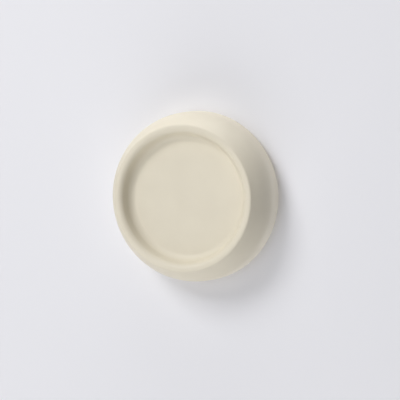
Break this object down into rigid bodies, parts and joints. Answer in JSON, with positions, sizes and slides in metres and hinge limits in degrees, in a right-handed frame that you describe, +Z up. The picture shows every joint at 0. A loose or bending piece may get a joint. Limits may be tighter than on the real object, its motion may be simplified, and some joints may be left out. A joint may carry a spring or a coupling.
{
  "type": "magnetic soap holder",
  "caption": "Round wall-mounted magnetic soap holder: a dished cream plastic housing over a sealed disc magnet, closed by a snap-in back plate that carries an adhesive pad.",
  "frame": {"origin": "centre of the adhesive pad's rear face, on the wall", "axes": "+Y along the holder's axis into the wall, so the dish faces -Y; +Z up; +X to the right when facing the dish"},
  "size_m": [0.05, 0.014, 0.05],
  "materials": {
    "cream_plastic": "satin moulded cream plastic with a fine even texture",
    "nickel_plate": "bright nickel plating",
    "zinc_steel": "zinc-plated sheet steel",
    "seal_rubber": "matt black rubber",
    "foam_adhesive": "soft white acrylic foam"
  },
  "bodies": {
    "root": {"housing": "cream_plastic", "magnet": "nickel_plate", "keeper_plate": "zinc_steel", "seal_ring": "seal_rubber", "back_plate": "cream_plastic", "adhesive_pad": "foam_adhesive"}
  },
  "joints": []
}
